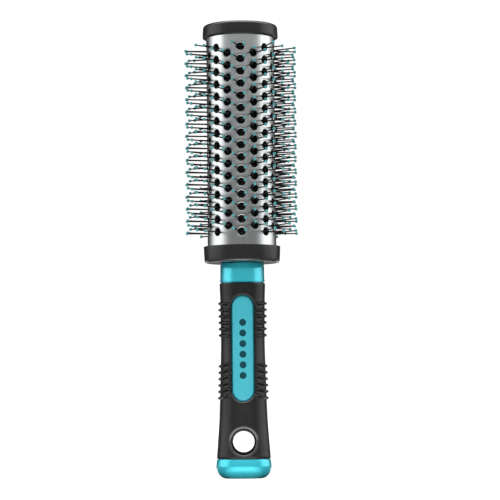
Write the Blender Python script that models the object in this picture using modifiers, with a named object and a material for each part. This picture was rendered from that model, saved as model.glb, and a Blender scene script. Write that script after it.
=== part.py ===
"""Round thermal hair brush: a vented aluminium barrel with sixteen bristle strips on a two-shot handle.

Metres, +Z up along the brush.  The origin is the centre of the handle's foot, and the window in the
grip faces -Y.  The barrel, strips and carrier slide over the handle's tang, and one screw under the
end cap clamps them down on the collar.
"""

import math

import bmesh
import bpy
from mathutils import Matrix, Vector

CLEARANCE = 0.0003

# Barrel and its vents.
BARREL_RADIUS = 0.0190
BARREL_WALL = 0.0009
BARREL_BOTTOM_Z = 0.1222
BARREL_TOP_Z = 0.2479
COLUMNS = 16
COLUMN_TURN = math.tau / COLUMNS
VENT_RADIUS = 0.00205
VENT_ROWS = 16
VENT_PITCH = 0.00678
VENT_FIRST_Z = 0.1348
VENT_SIDES = 6
VENT_FLAT_HALF_TURN = math.radians(6.4)     # half of the flat that a column of vents is cut in

# Bristle strips: a bar behind each column, with a pair of splayed pins through every vent.
BAR_INNER_RADIUS = 0.0159
BAR_OUTER_RADIUS = 0.0171
BAR_WIDTH = 0.0030
BAR_BOTTOM_Z = 0.1240
BAR_TOP_Z = 0.2395
PIN_ROOT_RADIUS = 0.0165
PIN_ROOT_OFFSET = 0.00050
PIN_TIP_RADIUS = 0.0306
PIN_TIP_TURN = math.radians(6.5)
LEFT_PIN_RISE = 0.0011                      # the left pin of a pair, seen from outside, leans up
PIN_HALF_THICKNESS = 0.0005
PIN_SIDES = 3

# Carrier inside the barrel.
CARRIER_RADIUS = 0.0170
CARRIER_RIM_INNER_RADIUS = 0.0134
CARRIER_HUB_RADIUS = 0.0073
CARRIER_BOTTOM_Z = BARREL_BOTTOM_Z
CARRIER_TOP_Z = 0.2400
CARRIER_SPOKES = 8
CARRIER_SPOKE_THICKNESS = 0.0020
SECTOR_STEPS = 3
GROOVE_FLOOR_RADIUS = BAR_INNER_RADIUS - CLEARANCE
GROOVE_WIDTH = BAR_WIDTH + 2 * CLEARANCE

# End cap.
CAP_TOP_Z = 0.2508
CAP_BOTTOM_Z = 0.2438
CAP_BOTTOM_RADIUS = 0.02095
CAP_TOP_RADIUS = 0.0207
CAP_ROUNDING = 0.0019
CAP_CEILING_Z = BARREL_TOP_Z + CLEARANCE
CAP_PLUG_INNER_RADIUS = 0.0150
SKIRT_INNER_RADIUS = BARREL_RADIUS + CLEARANCE

# Collar.
COLLAR_BOTTOM_Z = 0.1184
COLLAR_RIM_Z = 0.1189                       # the underside slopes down from here to the neck
COLLAR_TOP_Z = 0.1276
COLLAR_BOTTOM_RADIUS = 0.0208
COLLAR_TOP_RADIUS = 0.02115
COLLAR_ROUNDING = 0.0015
COLLAR_LIP = 0.0003

# Handle: neck and tang.
TANG_RADIUS = 0.0050
TANG_TOP_Z = CARRIER_TOP_Z - CLEARANCE
TANG_BORE_RADIUS = TANG_RADIUS + CLEARANCE
NECK_TOP_Z = COLLAR_BOTTOM_Z - CLEARANCE
NECK_TOP_RADIUS = 0.01205
NECK_BOTTOM_RADIUS = 0.01220
PILOT_RADIUS = 0.0023
PILOT_BOTTOM_Z = 0.2180

# Handle: foot, an elliptical quarter turn from its flat base out to its widest point.
FOOT_FLAT_HALF_WIDTH = 0.0100
BELLY_HALF_WIDTH = 0.01515
BELLY_Z = 0.0065
FOOT_TOP_Z = 0.0103
FOOT_TOP_HALF_WIDTH = 0.0149
FOOT_STEPS = 6

# Grip: half width at stations up the handle, between the ribs, and how flat the handle is there.
GRIP_BOTTOM_Z = FOOT_TOP_Z + CLEARANCE
GRIP_TOP_Z = 0.1074
GRIP_HALF_WIDTHS = (
    (0.0106, 0.01490), (0.0208, 0.01410), (0.0320, 0.01330), (0.0430, 0.01285),
    (0.0640, 0.01225), (0.0760, 0.01205), (0.0980, 0.01230), (0.1076, 0.01260),
)
DEPTH_RATIOS = ((0.0, 0.82), (0.0106, 0.83), (0.0320, 0.89), (0.0640, 0.96), (0.1076, 1.0))
INNER_HEIGHTS = (0.0200, 0.0320, 0.0430, 0.0640, 0.0760, 0.0980)
GRIP_WALL = 0.0018
GRIP_EDGE = 0.0006
SECTION_SIDES = 24

# Ribs: two groups round the sides of the grip, which end beside the window and arch up towards it.
RIB_GROUPS_Z = (0.0440, 0.0787)
RIBS_PER_GROUP = 6
RIB_PITCH = 0.0035
RIB_HEIGHT = 0.00115
RIB_HALF_BASE = 0.0009
RIB_ARCHES = ((0.0320, 0.0), (0.0440, 0.0020), (0.0615, 0.0020), (0.0720, 0.0), (0.1020, 0.0))
RIB_START_TURN = math.radians(30)           # turn from the front or back where a rib starts to rise
RIB_FULL_TURN = math.radians(44)
PLAIN_HEIGHTS = (0.0150, 0.0205, 0.0260, 0.0320, 0.0380, 0.0670, 0.0720, 0.1020)

# Window in the grip, and the pads of the handle that fill it front and back.
WINDOW_BOTTOM_Z = 0.0425
WINDOW_TOP_Z = 0.0998
WINDOW_HALF_WIDTH = 0.00585
WINDOW_RECESS = 0.0006
ROUND_END_STEPS = 8

# Hanging hole, lined by the grip.
HOLE_Z = 0.0200
HOLE_RADIUS = 0.0059
HOLE_FLARE_RADIUS = 0.0078
HOLE_FLARE_START = 0.0096
HOLE_FLARE_END = 0.0124
LINING_RADIUS = 0.0073
THROUGH = 0.0200                            # half length of a cutter that runs right through the handle

# Screw and washer that clamp the carrier to the tang.
WASHER_OUTER_RADIUS = 0.0065
WASHER_INNER_RADIUS = 0.0026
WASHER_THICKNESS = 0.0010
SCREW_HEAD_RADIUS = 0.0042
SCREW_HEAD_HEIGHT = 0.0026
SCREW_HEAD_RIM_HEIGHT = 0.0010
SCREW_DOME_RADIUS = 0.0025
SCREW_DOME_DROP = 0.0004
SCREW_SHANK_RADIUS = 0.0020
SCREW_TIP_Z = 0.2200
SCREW_POINT = 0.0030
RECESS_LENGTH = 0.0046
RECESS_WIDTH = 0.0009
RECESS_DEPTH = 0.0014

ROUND_STEPS = 32
SMALL_ROUND_STEPS = 16
CORNER_STEPS = 4
SHARP_ANGLE = math.radians(35)
MERGE_DISTANCE = 0.00001


def clear_scene():
    for item in list(bpy.data.objects):
        bpy.data.objects.remove(item, do_unlink=True)


def new_collection(name):
    collection = bpy.data.collections.new(name)
    bpy.context.scene.collection.children.link(collection)
    return collection


def new_material(name, colour, roughness, metallic=0.0):
    paint = bpy.data.materials.new(name)
    paint.use_nodes = True
    shader = paint.node_tree.nodes["Principled BSDF"]
    shader.inputs["Base Color"].default_value = (*colour, 1.0)
    shader.inputs["Roughness"].default_value = roughness
    shader.inputs["Metallic"].default_value = metallic
    paint.diffuse_color = (*colour, 1.0)
    return paint


def add_object(name, mesh, collection):
    item = bpy.data.objects.new(name, mesh)
    collection.objects.link(item)
    return item


def object_from_bmesh(name, bm, collection):
    bmesh.ops.recalc_face_normals(bm, faces=bm.faces)
    mesh = bpy.data.meshes.new(name)
    bm.to_mesh(mesh)
    bm.free()
    return add_object(name, mesh, collection)


def add_part(item, paint):
    """Bake a finished piece's modifiers and give it its material and smooth shading."""
    bpy.context.view_layer.update()
    mesh = bpy.data.meshes.new_from_object(item.evaluated_get(bpy.context.evaluated_depsgraph_get()))
    item.modifiers.clear()
    item.data = mesh
    mesh.name = item.name
    mesh.materials.clear()
    mesh.materials.append(paint)
    mesh.shade_smooth()
    mesh.set_sharp_from_angle(angle=SHARP_ANGLE)
    return item


def add_cutter(item):
    item.hide_render = True
    item.display_type = "WIRE"
    return item


def combine(item, other, operation):
    modifier = item.modifiers.new(other.name, "BOOLEAN")
    modifier.operation = operation
    modifier.object = other


def turned(name, profile, collection, closed=False, steps=ROUND_STEPS):
    """Solid of revolution about Z; the (radius, z) profile runs down its outer side."""
    count = len(profile)
    edges = [(index, index + 1) for index in range(count - 1)]
    if closed:
        edges.append((count - 1, 0))
    mesh = bpy.data.meshes.new(name)
    mesh.from_pydata([(radius, 0.0, z) for radius, z in profile], edges, [])
    item = add_object(name, mesh, collection)
    screw = item.modifiers.new("turn", "SCREW")
    screw.steps = steps
    screw.render_steps = steps
    screw.use_merge_vertices = True
    screw.merge_threshold = MERGE_DISTANCE
    return item


def rounding(centre_x, centre_y, radius, start, end, steps):
    """Points of an arc, between two angles in degrees counted up from the first axis."""
    points = []
    for step in range(steps + 1):
        angle = math.radians(start + (end - start) * step / steps)
        points.append((centre_x + radius * math.cos(angle), centre_y + radius * math.sin(angle)))
    return points


def smooth_value(stations, z):
    """Value at height z on a smooth curve through (height, value) stations."""
    last = len(stations) - 1
    index = 0
    while index < last - 1 and z > stations[index + 1][0]:
        index += 1

    def slope(at):
        before, after = stations[max(at - 1, 0)], stations[min(at + 1, last)]
        return (after[1] - before[1]) / (after[0] - before[0])

    (z0, value0), (z1, value1) = stations[index], stations[index + 1]
    span = z1 - z0
    t = min(max((z - z0) / span, 0.0), 1.0)
    blend = t * t * (3 - 2 * t)
    return (value0 + (value1 - value0) * blend + slope(index) * span * t * (1 - t) ** 2
            - slope(index + 1) * span * t * t * (1 - t))


def grip_section(z, inset=0.0):
    """(half width, half depth) of the handle at height z, inside the grip's surface by inset."""
    half_width = smooth_value(GRIP_HALF_WIDTHS, z)
    return half_width - inset, half_width * smooth_value(DEPTH_RATIOS, z) - inset


def loft(name, rings, collection):
    """Closed skin through (z, half width, half depth, rib lift, arch) rings, listed from the bottom up."""
    bm = bmesh.new()
    loops = []
    for z, half_width, half_depth, lift, arch in rings:
        loop = []
        for side in range(SECTION_SIDES):
            angle = math.tau * side / SECTION_SIDES
            raised = lift * side_weight(angle)
            x = (half_width + raised) * math.cos(angle)
            y = (half_depth + raised) * math.sin(angle)
            loop.append(bm.verts.new((x, y, z + arch * (1 - abs(math.cos(angle))))))
        loops.append(loop)
    for lower, upper in zip(loops, loops[1:]):
        for side in range(SECTION_SIDES):
            following = (side + 1) % SECTION_SIDES
            bm.faces.new((lower[side], lower[following], upper[following], upper[side]))
    bm.faces.new(reversed(loops[0]))
    bm.faces.new(loops[-1])
    return object_from_bmesh(name, bm, collection)


def side_weight(angle):
    """1 round the sides of the grip, falling to 0 towards its front and back."""
    turn = math.acos(min(abs(math.sin(angle)), 1.0))
    t = min(max((turn - RIB_START_TURN) / (RIB_FULL_TURN - RIB_START_TURN), 0.0), 1.0)
    return t * t * (3 - 2 * t)


def vent_heights(column):
    """Even columns have a full row of vents; odd ones sit half a pitch higher and have one less."""
    odd = column % 2
    return [VENT_FIRST_Z + VENT_PITCH * (row + odd / 2) for row in range(VENT_ROWS - odd)]


def column_angle(column):
    """Column 0 faces the front, -Y."""
    return COLUMN_TURN * column - math.pi / 2


def make_barrel(collection, cutters, paint):
    angles = []
    for column in range(COLUMNS):
        angles.append(column_angle(column) - VENT_FLAT_HALF_TURN)
        angles.append(column_angle(column) + VENT_FLAT_HALF_TURN)
    bm = bmesh.new()
    loops = []
    for z in (BARREL_BOTTOM_Z, BARREL_TOP_Z):
        ring = [(BARREL_RADIUS * math.cos(angle), BARREL_RADIUS * math.sin(angle), z) for angle in angles]
        loops.append([bm.verts.new(point) for point in ring])
    for side in range(len(angles)):
        following = (side + 1) % len(angles)
        bm.faces.new((loops[0][side], loops[0][following], loops[1][following], loops[1][side]))
    barrel = object_from_bmesh("barrel", bm, collection)
    wall = barrel.modifiers.new("wall", "SOLIDIFY")
    wall.thickness = BARREL_WALL
    wall.offset = -1.0
    wall.use_even_offset = True
    combine(barrel, make_vent_cutter(cutters), "DIFFERENCE")
    return add_part(barrel, paint)


def make_vent_cutter(cutters):
    """One six-sided punch through the wall for every vent, with the area of the round hole."""
    round_area = math.pi * VENT_RADIUS ** 2
    punch_radius = math.sqrt(2 * round_area / (VENT_SIDES * math.sin(math.tau / VENT_SIDES)))
    middle_radius = BARREL_RADIUS - BARREL_WALL / 2
    corner_up = Matrix.Rotation(math.pi / 2, 4, "Y") @ Matrix.Rotation(math.pi / 2, 4, "Z")
    bm = bmesh.new()
    for column in range(COLUMNS):
        around = Matrix.Rotation(column_angle(column), 4, "Z")
        for z in vent_heights(column):
            place = around @ Matrix.Translation((middle_radius, 0.0, z)) @ corner_up
            bmesh.ops.create_cone(
                bm, cap_ends=True, segments=VENT_SIDES, radius1=punch_radius, radius2=punch_radius,
                depth=4 * BARREL_WALL, matrix=place)
    return add_cutter(object_from_bmesh("vent_punches", bm, cutters))


def make_strip_mesh(column, collection, cutters, paint):
    """A strip as it faces +X: the bar, with its pins joined on."""
    bm = bmesh.new()
    size = (BAR_OUTER_RADIUS - BAR_INNER_RADIUS, BAR_WIDTH, BAR_TOP_Z - BAR_BOTTOM_Z)
    centre = ((BAR_OUTER_RADIUS + BAR_INNER_RADIUS) / 2, 0.0, (BAR_TOP_Z + BAR_BOTTOM_Z) / 2)
    place = Matrix.LocRotScale(Vector(centre), None, Vector(size))
    bmesh.ops.create_cube(bm, size=1.0, matrix=place)
    bar = object_from_bmesh("strip_bar", bm, collection)
    combine(bar, make_pins(column, cutters), "UNION")
    mesh = add_part(bar, paint).data
    bpy.data.objects.remove(bar, do_unlink=True)
    return mesh


def make_pins(column, cutters):
    bm = bmesh.new()
    for z in vent_heights(column):
        for side in (-1, 1):
            root = Vector((PIN_ROOT_RADIUS, side * PIN_ROOT_OFFSET, z))
            tip = Vector((PIN_TIP_RADIUS * math.cos(PIN_TIP_TURN),
                          side * PIN_TIP_RADIUS * math.sin(PIN_TIP_TURN),
                          z + (LEFT_PIN_RISE if side < 0 else 0.0)))
            along = tip - root
            lean = along.to_track_quat("Z", "Y").to_matrix().to_4x4()
            place = Matrix.Translation((root + tip) / 2) @ lean
            bmesh.ops.create_cone(
                bm, cap_ends=True, segments=PIN_SIDES, radius1=PIN_HALF_THICKNESS,
                radius2=PIN_HALF_THICKNESS, depth=along.length, matrix=place)
    return add_cutter(object_from_bmesh("pins_%d" % column, bm, cutters))


def make_strips(collection, cutters, paint):
    """Sixteen strips of two alternating kinds, which share two meshes."""
    kinds = [make_strip_mesh(kind, collection, cutters, paint) for kind in (0, 1)]
    for column in range(COLUMNS):
        strip = add_object("bristle_strip_%02d" % (column + 1), kinds[column % 2], collection)
        strip.rotation_euler.z = column_angle(column)


def flat_outline(curve, points):
    spline = curve.splines.new("POLY")
    spline.points.add(len(points) - 1)
    for point, (x, y) in zip(spline.points, points):
        point.co = (x, y, 0.0, 1.0)
    spline.use_cyclic_u = True


def carrier_outline():
    """Outside of the carrier, with a groove for each strip."""
    edge_turn = math.asin(GROOVE_WIDTH / 2 / CARRIER_RADIUS)
    floor_turn = math.asin(GROOVE_WIDTH / 2 / GROOVE_FLOOR_RADIUS)
    points = []
    for column in range(COLUMNS):
        for radius, turn in ((CARRIER_RADIUS, -edge_turn), (GROOVE_FLOOR_RADIUS, -floor_turn),
                             (GROOVE_FLOOR_RADIUS, floor_turn), (CARRIER_RADIUS, edge_turn)):
            angle = column_angle(column) + turn
            points.append((radius * math.cos(angle), radius * math.sin(angle)))
    return points


def sector_outline(spoke):
    """Opening in the carrier between one spoke and the next."""
    first = math.tau * spoke / CARRIER_SPOKES
    last = first + math.tau / CARRIER_SPOKES
    points = []
    for radius in (CARRIER_RIM_INNER_RADIUS, CARRIER_HUB_RADIUS):
        half_spoke = math.degrees(math.asin(CARRIER_SPOKE_THICKNESS / 2 / radius))
        start, end = math.degrees(first) + half_spoke, math.degrees(last) - half_spoke
        if radius == CARRIER_HUB_RADIUS:
            start, end = end, start
        points += rounding(0.0, 0.0, radius, start, end, SECTOR_STEPS)
    return points


def make_carrier(collection, paint):
    curve = bpy.data.curves.new("barrel_core", "CURVE")
    curve.dimensions = "2D"
    curve.fill_mode = "BOTH"
    curve.extrude = (CARRIER_TOP_Z - CARRIER_BOTTOM_Z) / 2
    curve.materials.append(paint)
    flat_outline(curve, carrier_outline())
    for spoke in range(CARRIER_SPOKES):
        flat_outline(curve, sector_outline(spoke))
    flat_outline(curve, rounding(0.0, 0.0, TANG_BORE_RADIUS, 0, 360, ROUND_STEPS)[:-1])
    carrier = add_object("barrel_core", curve, collection)
    carrier.location.z = (CARRIER_TOP_Z + CARRIER_BOTTOM_Z) / 2
    return carrier


def make_end_cap(collection, paint):
    """Cap with a skirt outside the barrel and a plug ring inside it."""
    plug_radius = BARREL_RADIUS - BARREL_WALL - CLEARANCE
    plug_bottom = CARRIER_TOP_Z + CLEARANCE
    corner = CAP_TOP_RADIUS - CAP_ROUNDING
    profile = [(0.0, CAP_TOP_Z)]
    profile += rounding(corner, CAP_TOP_Z - CAP_ROUNDING, CAP_ROUNDING, 90, 0, CORNER_STEPS)
    profile += [
        (CAP_BOTTOM_RADIUS, CAP_BOTTOM_Z + CLEARANCE), (CAP_BOTTOM_RADIUS - CLEARANCE, CAP_BOTTOM_Z),
        (SKIRT_INNER_RADIUS, CAP_BOTTOM_Z), (SKIRT_INNER_RADIUS, CAP_CEILING_Z),
        (plug_radius, CAP_CEILING_Z), (plug_radius, plug_bottom),
        (CAP_PLUG_INNER_RADIUS, plug_bottom), (CAP_PLUG_INNER_RADIUS, CAP_CEILING_Z),
        (0.0, CAP_CEILING_Z),
    ]
    return add_part(turned("end_cap", profile, collection), paint)


def make_collar(collection, paint):
    """Cup that takes the barrel's lower end, with the tang through its floor."""
    floor_z = BARREL_BOTTOM_Z - CLEARANCE
    corner = COLLAR_BOTTOM_RADIUS - COLLAR_ROUNDING
    profile = [
        (SKIRT_INNER_RADIUS, COLLAR_TOP_Z), (COLLAR_TOP_RADIUS - COLLAR_LIP, COLLAR_TOP_Z),
        (COLLAR_TOP_RADIUS, COLLAR_TOP_Z - COLLAR_LIP),
    ]
    profile += rounding(corner, COLLAR_RIM_Z + COLLAR_ROUNDING, COLLAR_ROUNDING, 0, -90, CORNER_STEPS)
    profile += [
        (NECK_TOP_RADIUS, COLLAR_BOTTOM_Z), (TANG_BORE_RADIUS, COLLAR_BOTTOM_Z),
        (TANG_BORE_RADIUS, floor_z), (SKIRT_INNER_RADIUS, floor_z),
    ]
    return add_part(turned("collar", profile, collection, closed=True), paint)


def make_washer(collection, paint):
    bottom = CARRIER_TOP_Z + CLEARANCE
    top = bottom + WASHER_THICKNESS
    profile = [
        (WASHER_INNER_RADIUS, top), (WASHER_OUTER_RADIUS, top),
        (WASHER_OUTER_RADIUS, bottom), (WASHER_INNER_RADIUS, bottom),
    ]
    return add_part(turned("screw_washer", profile, collection, True, SMALL_ROUND_STEPS), paint)


def make_screw(collection, cutters, paint):
    seat = CARRIER_TOP_Z + WASHER_THICKNESS + 2 * CLEARANCE
    top = seat + SCREW_HEAD_HEIGHT
    profile = [
        (0.0, top), (SCREW_DOME_RADIUS, top - SCREW_DOME_DROP),
        (SCREW_HEAD_RADIUS, seat + SCREW_HEAD_RIM_HEIGHT), (SCREW_HEAD_RADIUS, seat),
        (SCREW_SHANK_RADIUS, seat), (SCREW_SHANK_RADIUS, SCREW_TIP_Z + SCREW_POINT), (0.0, SCREW_TIP_Z),
    ]
    screw = turned("core_screw", profile, collection, steps=SMALL_ROUND_STEPS)
    for turn in (0.0, math.pi / 2):
        bm = bmesh.new()
        place = Matrix.LocRotScale(Vector((0.0, 0.0, top)), Matrix.Rotation(turn, 3, "Z"),
                                   Vector((RECESS_LENGTH, RECESS_WIDTH, 2 * RECESS_DEPTH)))
        bmesh.ops.create_cube(bm, size=1.0, matrix=place)
        slot = add_cutter(object_from_bmesh("recess_%d" % round(math.degrees(turn)), bm, cutters))
        combine(screw, slot, "DIFFERENCE")
    return add_part(screw, paint)


def through_cylinder(name, radius, cutters):
    """Cylinder along Y through the handle at the hanging hole."""
    bm = bmesh.new()
    place = Matrix.Translation((0.0, 0.0, HOLE_Z)) @ Matrix.Rotation(math.pi / 2, 4, "X")
    bmesh.ops.create_cone(bm, cap_ends=True, segments=ROUND_STEPS, radius1=radius, radius2=radius,
                          depth=2 * THROUGH, matrix=place)
    return add_cutter(object_from_bmesh(name, bm, cutters))


def make_window_prism(name, margin, cutters):
    """Stadium-shaped prism through the handle, smaller than the window by margin all round."""
    half_width = WINDOW_HALF_WIDTH - margin
    top, bottom = WINDOW_TOP_Z - margin - half_width, WINDOW_BOTTOM_Z + margin + half_width
    outline = rounding(0.0, top, half_width, 0, 180, ROUND_END_STEPS)
    outline += rounding(0.0, bottom, half_width, 180, 360, ROUND_END_STEPS)
    bm = bmesh.new()
    face = bm.faces.new([bm.verts.new((x, -THROUGH, z)) for x, z in outline])
    grown = bmesh.ops.extrude_face_region(bm, geom=[face])["geom"]
    moved = [item for item in grown if isinstance(item, bmesh.types.BMVert)]
    bmesh.ops.translate(bm, verts=moved, vec=(0.0, 2 * THROUGH, 0.0))
    return add_cutter(object_from_bmesh(name, bm, cutters))


def handle_rings(window_pads=False):
    """Sections of the handle moulding, or of the slug that its window pads are cut from."""
    body_inset = WINDOW_RECESS if window_pads else GRIP_WALL + CLEARANCE
    body_bottom, body_top = FOOT_TOP_Z, GRIP_TOP_Z + CLEARANCE
    rings = []
    for z in (body_bottom, *INNER_HEIGHTS, body_top):
        rings.append((z, *grip_section(z, body_inset), 0.0, 0.0))
    if window_pads:
        return rings
    foot = []
    for step in range(FOOT_STEPS + 1):
        turn = math.pi / 2 * step / FOOT_STEPS
        spread = BELLY_HALF_WIDTH - FOOT_FLAT_HALF_WIDTH
        foot.append((BELLY_Z * (1 - math.cos(turn)), FOOT_FLAT_HALF_WIDTH + spread * math.sin(turn)))
    foot.append((FOOT_TOP_Z, FOOT_TOP_HALF_WIDTH))
    foot = [(z, width, width * smooth_value(DEPTH_RATIOS, z), 0.0, 0.0) for z, width in foot]
    neck_and_tang = [(body_top, NECK_BOTTOM_RADIUS), (NECK_TOP_Z, NECK_TOP_RADIUS),
                     (NECK_TOP_Z, TANG_RADIUS), (TANG_TOP_Z, TANG_RADIUS)]
    return foot + rings + [(z, radius, radius, 0.0, 0.0) for z, radius in neck_and_tang]


def make_handle(collection, cutters, paint):
    """Teal moulding: foot, body under the grip with its window pads, neck and tang."""
    handle = loft("handle_core", handle_rings(), collection)
    pads = add_cutter(loft("window_pads", handle_rings(window_pads=True), cutters))
    combine(pads, make_window_prism("pad_prism", CLEARANCE, cutters), "INTERSECT")
    combine(handle, pads, "UNION")
    combine(handle, through_cylinder("lining_bore", LINING_RADIUS + CLEARANCE, cutters), "DIFFERENCE")
    bm = bmesh.new()
    bmesh.ops.create_cone(
        bm, cap_ends=True, segments=SMALL_ROUND_STEPS, radius1=PILOT_RADIUS, radius2=PILOT_RADIUS,
        depth=2 * (TANG_TOP_Z - PILOT_BOTTOM_Z), matrix=Matrix.Translation((0.0, 0.0, TANG_TOP_Z)))
    combine(handle, add_cutter(object_from_bmesh("pilot_hole", bm, cutters)), "DIFFERENCE")
    return add_part(handle, paint)


def grip_rings():
    """Sections of the grip's outside, with three for each rib."""
    heights = {z: 0.0 for z in PLAIN_HEIGHTS}
    for group_z in RIB_GROUPS_Z:
        for rib in range(RIBS_PER_GROUP):
            middle = group_z + RIB_PITCH * rib
            heights[middle - RIB_HALF_BASE] = 0.0
            heights[middle] = RIB_HEIGHT
            heights[middle + RIB_HALF_BASE] = 0.0
    rings = []
    for z, lift in sorted(heights.items()):
        rings.append((z, *grip_section(z), lift, smooth_value(RIB_ARCHES, z)))
    below = [(GRIP_BOTTOM_Z, *grip_section(GRIP_BOTTOM_Z, GRIP_EDGE), 0.0, 0.0),
             (GRIP_BOTTOM_Z + GRIP_EDGE, *grip_section(GRIP_BOTTOM_Z), 0.0, 0.0)]
    above = [(GRIP_TOP_Z - GRIP_EDGE, *grip_section(GRIP_TOP_Z), 0.0, 0.0),
             (GRIP_TOP_Z, *grip_section(GRIP_TOP_Z, GRIP_EDGE), 0.0, 0.0)]
    return below + rings + above


def make_flared_bore(cutters):
    """Hanging hole, opening out towards both faces of the grip."""
    slope = (HOLE_FLARE_RADIUS - HOLE_RADIUS) / (HOLE_FLARE_END - HOLE_FLARE_START)
    outer_radius = HOLE_RADIUS + slope * (THROUGH - HOLE_FLARE_START)
    profile = [(0.0, THROUGH), (outer_radius, THROUGH), (HOLE_RADIUS, HOLE_FLARE_START),
               (HOLE_RADIUS, -HOLE_FLARE_START), (outer_radius, -THROUGH), (0.0, -THROUGH)]
    bore = turned("hanging_bore", profile, cutters)
    bore.rotation_euler.x = math.pi / 2
    bore.location.z = HOLE_Z
    return add_cutter(bore)


def make_grip(collection, cutters, paint):
    """Rubber sleeve over the handle, open at both ends and at the windows, and lining the hole."""
    grip = loft("grip_sleeve", grip_rings(), collection)
    heights = (GRIP_BOTTOM_Z - GRIP_WALL, GRIP_BOTTOM_Z, *INNER_HEIGHTS, GRIP_TOP_Z, GRIP_TOP_Z + GRIP_WALL)
    hollow_rings = [(z, *grip_section(z, GRIP_WALL), 0.0, 0.0) for z in heights]
    hollow = add_cutter(loft("grip_hollow", hollow_rings, cutters))
    combine(hollow, through_cylinder("lining", LINING_RADIUS, cutters), "DIFFERENCE")
    combine(grip, hollow, "DIFFERENCE")
    combine(grip, make_window_prism("window_prism", 0.0, cutters), "DIFFERENCE")
    combine(grip, make_flared_bore(cutters), "DIFFERENCE")
    return add_part(grip, paint)


def main():
    clear_scene()
    collection = new_collection("round_thermal_brush")
    cutters = new_collection("cutters")
    teal = new_material("teal_plastic", (0.035, 0.36, 0.42), 0.28, 0.25)
    rubber = new_material("grip_rubber", (0.032, 0.030, 0.029), 0.75)
    satin_black = new_material("satin_black_plastic", (0.03, 0.03, 0.03), 0.42)
    nylon = new_material("black_nylon", (0.02, 0.02, 0.022), 0.45)
    carrier_plastic = new_material("carrier_plastic", (0.018, 0.018, 0.02), 0.6)
    aluminium = new_material("aluminium", (0.62, 0.62, 0.63), 0.35, 1.0)
    steel = new_material("steel", (0.50, 0.50, 0.50), 0.35, 1.0)

    make_end_cap(collection, satin_black)
    make_barrel(collection, cutters, aluminium)
    make_strips(collection, cutters, nylon)
    make_carrier(collection, carrier_plastic)
    make_screw(collection, cutters, steel)
    make_washer(collection, steel)
    make_collar(collection, satin_black)
    make_handle(collection, cutters, teal)
    make_grip(collection, cutters, rubber)


main()
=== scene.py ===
"""Looks of the round thermal hair brush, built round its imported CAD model.

Metres, in the CAD frame: +Z runs up the brush, the foot's base is at z = 0 and the front window faces -Y.
The fixed sizes below repeat the CAD part's own, because its boxes alone don't give them.
"""

import math
import random

import bmesh
import bpy
from mathutils import Matrix, Vector


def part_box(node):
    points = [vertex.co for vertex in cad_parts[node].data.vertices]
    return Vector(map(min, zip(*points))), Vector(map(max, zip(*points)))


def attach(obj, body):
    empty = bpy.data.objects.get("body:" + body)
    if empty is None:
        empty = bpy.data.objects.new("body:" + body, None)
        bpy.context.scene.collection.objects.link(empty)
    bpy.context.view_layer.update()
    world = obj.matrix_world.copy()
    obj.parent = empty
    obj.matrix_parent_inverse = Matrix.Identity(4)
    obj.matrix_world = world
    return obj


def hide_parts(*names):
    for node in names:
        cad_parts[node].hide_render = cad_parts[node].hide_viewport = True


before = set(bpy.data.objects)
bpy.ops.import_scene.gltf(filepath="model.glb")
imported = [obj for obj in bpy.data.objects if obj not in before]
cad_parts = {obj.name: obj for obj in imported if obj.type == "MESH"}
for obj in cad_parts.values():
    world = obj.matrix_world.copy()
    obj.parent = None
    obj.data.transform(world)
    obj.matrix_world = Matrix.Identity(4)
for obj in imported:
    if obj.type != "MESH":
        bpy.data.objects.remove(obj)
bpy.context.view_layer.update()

# ---------------------------------------------------------------- sizes

COLUMNS = 16
COLUMN_TURN = math.tau / COLUMNS
VENT_ROWS = 16
VENT_PITCH = 0.00678
VENT_FIRST_Z = 0.1348
VENT_RADIUS = 0.00205
BARREL_RADIUS = 0.0190
BARREL_WALL = 0.0009
GAP = 0.0003    # clearance between pieces that touch on the real brush

# (distance from a vent's centre, how far the metal is pressed in there), from the edge of the vent outwards.
VENT_LIP = ((0.00205, 0.00045), (0.00211, 0.00026), (0.00221, 0.00014),
            (0.00236, 0.00006), (0.00256, 0.00002), (0.00285, 0.0))
CELL_STEPS = 8

CAP_SKIRT_Z = 0.2436
CAP_RECESS_RADIUS = 0.0150
CAP_RECESS_DEPTH = 0.0003
CAP_TOP_RADIUS = 0.0158
CAP_CORNER_RADIUS = 0.0188    # from the axis to the centre of the rounded top corner
CAP_CORNER_ROUNDING = 0.0019
CAP_SIDE_RADIUS = 0.0208
CAP_SIDE_Z = 0.2470
CAP_SKIRT_RADIUS = 0.0203     # from the axis to the centre of the skirt's rounded edge
CAP_SKIRT_ROUNDING = 0.00065
CAP_PLUG_RADII = (0.0178, 0.0150)
CAP_POLISH_DEPTH = 0.0012

SOCKET_RADIUS = 0.0193        # inside of the cap and of the collar, round the barrel
COLLAR_RIM_RADII = (0.02095, 0.02110, 0.02115, 0.02112)
COLLAR_WAIST_RADIUS = 0.0210
COLLAR_WAIST_Z = 0.1230
COLLAR_ROUNDING = 0.0015
COLLAR_SEAT_RADIUS = 0.0121
COLLAR_BORE_RADIUS = 0.0053
COLLAR_POLISH_HEIGHT = 0.0010

BAR_CENTRE_RADIUS = 0.0165
BAR_THICKNESS = 0.0012
BAR_WIDTH = 0.0030
BAR_BEVEL = 0.0002
PIN_ROOT_OFFSET = 0.00050
PIN_TIP_RADIUS = 0.0303
PIN_TIP_TURN = math.radians(6.3)
PIN_LEAN = math.radians(-2.0)
PIN_PROFILE = ((0.0, 0.00070), (0.07, 0.00048), (0.5, 0.00039), (0.98, 0.00034))
PIN_SIDES = 8
LEFT_PIN_RISE = 0.00105
RIGHT_PIN_RISE = -0.0001
PIN_SCATTER = 0.00014
TIP_RADIUS = 0.00086

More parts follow.
